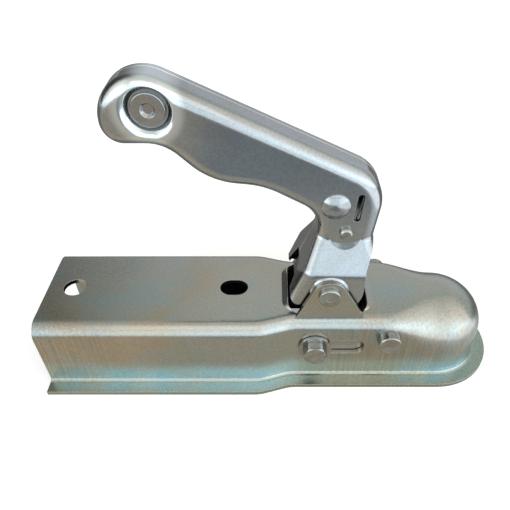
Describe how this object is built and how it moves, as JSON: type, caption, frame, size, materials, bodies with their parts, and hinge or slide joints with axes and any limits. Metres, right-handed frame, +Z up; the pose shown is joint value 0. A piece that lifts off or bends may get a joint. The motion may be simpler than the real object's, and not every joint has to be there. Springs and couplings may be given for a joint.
{
  "type": "trailer coupling head",
  "caption": "Pressed-steel trailer coupling head that clamps a 50 mm tow ball with a jaw driven by a folding lever handle, for a 60 mm square drawbar.",
  "frame": {"origin": "on the flat underside of the flange, straight below the middle of the ball cup", "axes": "+X forward along the drawbar to the ball end, +Z up, the pictured side faces -Y"},
  "size_m": [0.2571, 0.0826, 0.1663],
  "materials": {
    "body_zinc": "zinc-plated pressed steel, satin, slightly mottled",
    "handle_zinc": "bright zinc-plated pressed steel",
    "pin_zinc": "zinc-plated steel pin",
    "rivet_zinc": "zinc-plated steel rivet",
    "bolt_zinc": "zinc-plated steel fastener",
    "inner_steel": "zinc-plated steel, dull",
    "spring_steel": "bright spring wire",
    "jaw_zinc": "zinc-plated forged jaw, dull"
  },
  "bodies": {
    "body": {"coupling_body": "body_zinc", "pivot_pin": "pin_zinc", "cross_pin": "pin_zinc"},
    "handle": {"handle_near_shell": "handle_zinc", "handle_far_shell": "handle_zinc", "lever_bracket": "inner_steel", "pivot_bush": "inner_steel", "grip_rivet": "rivet_zinc", "grip_spacer": "inner_steel", "elbow_rivet": "rivet_zinc", "elbow_spacer": "inner_steel", "catch_pin": "pin_zinc", "catch_spacer": "inner_steel", "catch_spring": "spring_steel"},
    "catch": {"safety_catch": "inner_steel"},
    "jaw": {"clamping_jaw": "jaw_zinc", "guide_bolt": "bolt_zinc", "guide_sleeve": "inner_steel", "near_washer": "bolt_zinc", "far_washer": "bolt_zinc", "lock_nut": "bolt_zinc"}
  },
  "joints": [
    {"name": "handle_pivot", "type": "hinge", "parent": "body", "child": "handle", "pos_m": [-0.0646, 0, 0.06], "axis": [0, -1, 0], "range_deg": [0, 32]},
    {"name": "jaw_slide", "type": "slide", "parent": "body", "child": "jaw", "axis": [1, 0, 0], "range_m": [0, 0.0201]},
    {"name": "catch_pivot", "type": "hinge", "parent": "handle", "child": "catch", "pos_m": [-0.0579, 0, 0.0906], "axis": [0, -1, 0], "range_deg": [0, 8], "stiffness_Nm_per_rad": 0.08, "springref_deg": -34.38}
  ],
  "couplings": [
    {"joint": "jaw_slide", "follows": "handle_pivot", "m_per_rad": 0.0358}
  ]
}
